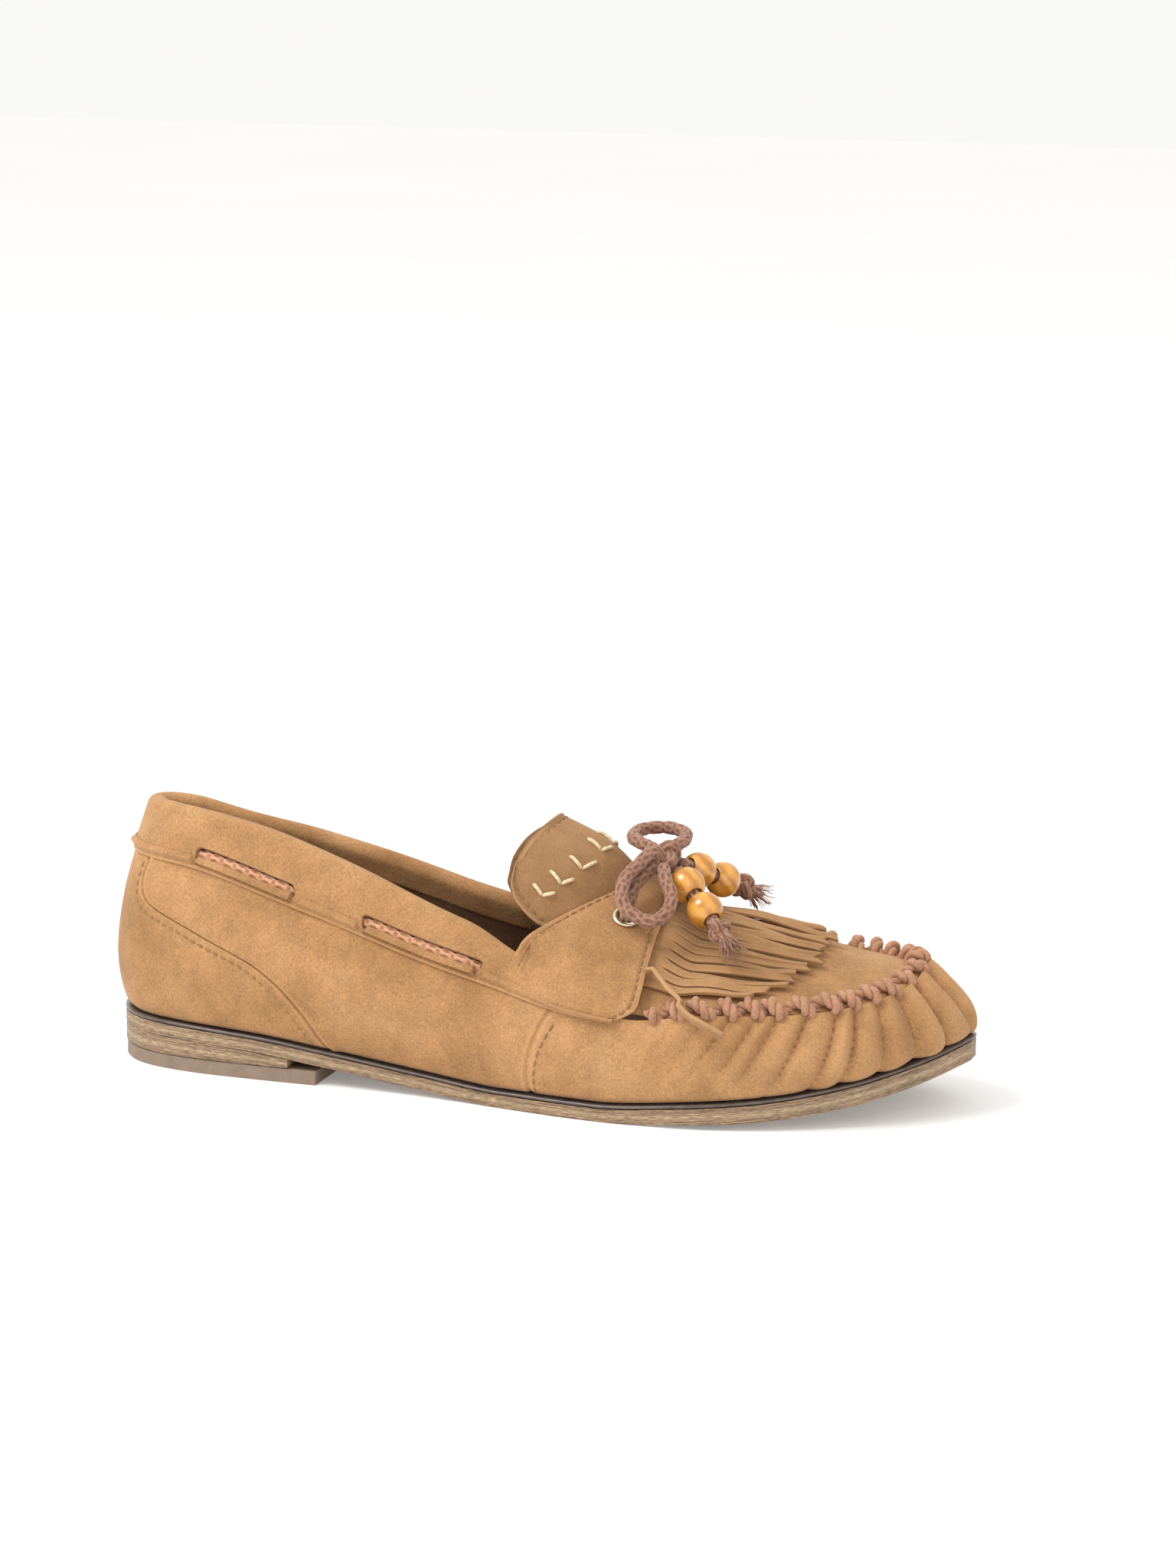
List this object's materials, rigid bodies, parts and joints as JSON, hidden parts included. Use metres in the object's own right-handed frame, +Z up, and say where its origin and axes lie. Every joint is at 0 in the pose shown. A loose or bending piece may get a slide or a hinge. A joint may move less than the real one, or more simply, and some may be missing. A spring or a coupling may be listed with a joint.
{
  "type": "moccasin",
  "caption": "Flat suede moccasin for the right foot with a whip-stitched apron, fringed saddle strap, standing tongue and a beaded lace bow.",
  "frame": {"origin": "bottom centre of the whole shoe's bounding box, on the ground plane", "axes": "+X heel to toe along the shoe, +Y towards the inner side of the foot, +Z up"},
  "size_m": [0.2604, 0.0904, 0.0795],
  "materials": {
    "suede": "fine-napped camel suede",
    "tongue_suede": "rougher brown suede",
    "lining": "dark brown brushed lining",
    "board": "fibre board",
    "shank_steel": "plain spring steel",
    "sole_stack": "streaked stacked edge, satin",
    "rand_brown": "dark edge, slightly glossy",
    "lift_rubber": "matte taupe",
    "lace_cotton": "fuzzy round braid",
    "thread": "waxed cream thread",
    "eyelet_metal": "pale polished",
    "bead_wood": "glossy amber lacquer"
  },
  "bodies": {
    "shoe": {"heel_lift": "lift_rubber", "heel_wedge": "sole_stack", "outsole": "sole_stack", "rand": "rand_brown", "bottom_filler": "board", "shank": "shank_steel", "insole_board": "board", "sock_liner": "lining", "heel_counter": "suede", "heel_stiffener": "board", "quarter_lateral": "suede", "quarter_medial": "suede", "quarter_lining": "lining", "toe_vamp": "suede", "toe_puff": "board", "vamp_lining": "lining", "apron": "suede", "apron_lining": "lining", "seam_cord": "lace_cotton", "saddle_collar": "suede", "tongue_base": "tongue_suede", "fringe_header": "tongue_suede", "fringe_middle": "tongue_suede", "fringe_medial": "tongue_suede", "eyelet_lateral": "eyelet_metal", "eyelet_medial": "eyelet_metal", "collar_lace": "lace_cotton", "lace_knot": "lace_cotton", "lace_lead_lateral": "lace_cotton", "lace_loop_lateral": "lace_cotton", "lace_lead_medial": "lace_cotton", "lace_loop_medial": "lace_cotton"},
    "tongue_flap": {"tongue": "tongue_suede", "tongue_lining": "lining", "tongue_stitch_1": "thread", "tongue_stitch_2": "thread", "tongue_stitch_3": "thread", "tongue_stitch_4": "thread", "tongue_stitch_5": "thread", "tongue_stitch_6": "thread", "tongue_stitch_7": "thread", "tongue_stitch_8": "thread"},
    "loose_fringe": {"fringe_lateral": "tongue_suede", "fringe_stray": "tongue_suede"},
    "tail_lateral": {"lace_tail_lateral": "lace_cotton", "tail_knot_lateral": "lace_cotton"},
    "tail_medial": {"lace_tail_medial": "lace_cotton", "tail_knot_medial": "lace_cotton"},
    "bead_lateral_inner": {"bead_lateral_1": "bead_wood"},
    "bead_lateral_outer": {"bead_lateral_2": "bead_wood"},
    "bead_medial_inner": {"bead_medial_1": "bead_wood"},
    "bead_medial_outer": {"bead_medial_2": "bead_wood"}
  },
  "joints": [
    {"name": "tongue_lift", "type": "hinge", "parent": "shoe", "child": "tongue_flap", "pos_m": [0.02977, 0.0018, 0.0625], "axis": [0, 1, 0], "range_deg": [0, 12]},
    {"name": "fringe_lift", "type": "hinge", "parent": "shoe", "child": "loose_fringe", "pos_m": [0.04237, -0.02845, 0.04155], "axis": [-0.0755, -0.7338, -0.6751], "range_deg": [0, 30]},
    {"name": "tail_lift_lateral", "type": "hinge", "parent": "shoe", "child": "tail_lateral", "pos_m": [0.04315, -0.00038, 0.06589], "axis": [-0.6699, -0.7424, 0], "range_deg": [0, 15]},
    {"name": "bead_spin_lateral_inner", "type": "hinge", "parent": "tail_lateral", "child": "bead_lateral_inner", "pos_m": [0.04727, -0.0041, 0.0627], "axis": [0.6435, -0.5806, -0.4988], "continuous": true},
    {"name": "bead_spin_lateral_outer", "type": "hinge", "parent": "tail_lateral", "child": "bead_lateral_outer", "pos_m": [0.05435, -0.01049, 0.05721], "axis": [0.6435, -0.5806, -0.4988], "continuous": true},
    {"name": "tail_lift_medial", "type": "hinge", "parent": "shoe", "child": "tail_medial", "pos_m": [0.04336, 0.00372, 0.06725], "axis": [0.8696, -0.4938, 0], "range_deg": [0, 15]},
    {"name": "bead_spin_medial_inner", "type": "hinge", "parent": "tail_medial", "child": "bead_medial_inner", "pos_m": [0.04687, 0.0099, 0.0643], "axis": [0.4561, 0.8032, -0.3831], "continuous": true},
    {"name": "bead_spin_medial_outer", "type": "hinge", "parent": "tail_medial", "child": "bead_medial_outer", "pos_m": [0.05189, 0.01874, 0.06009], "axis": [0.4561, 0.8032, -0.3831], "continuous": true}
  ]
}
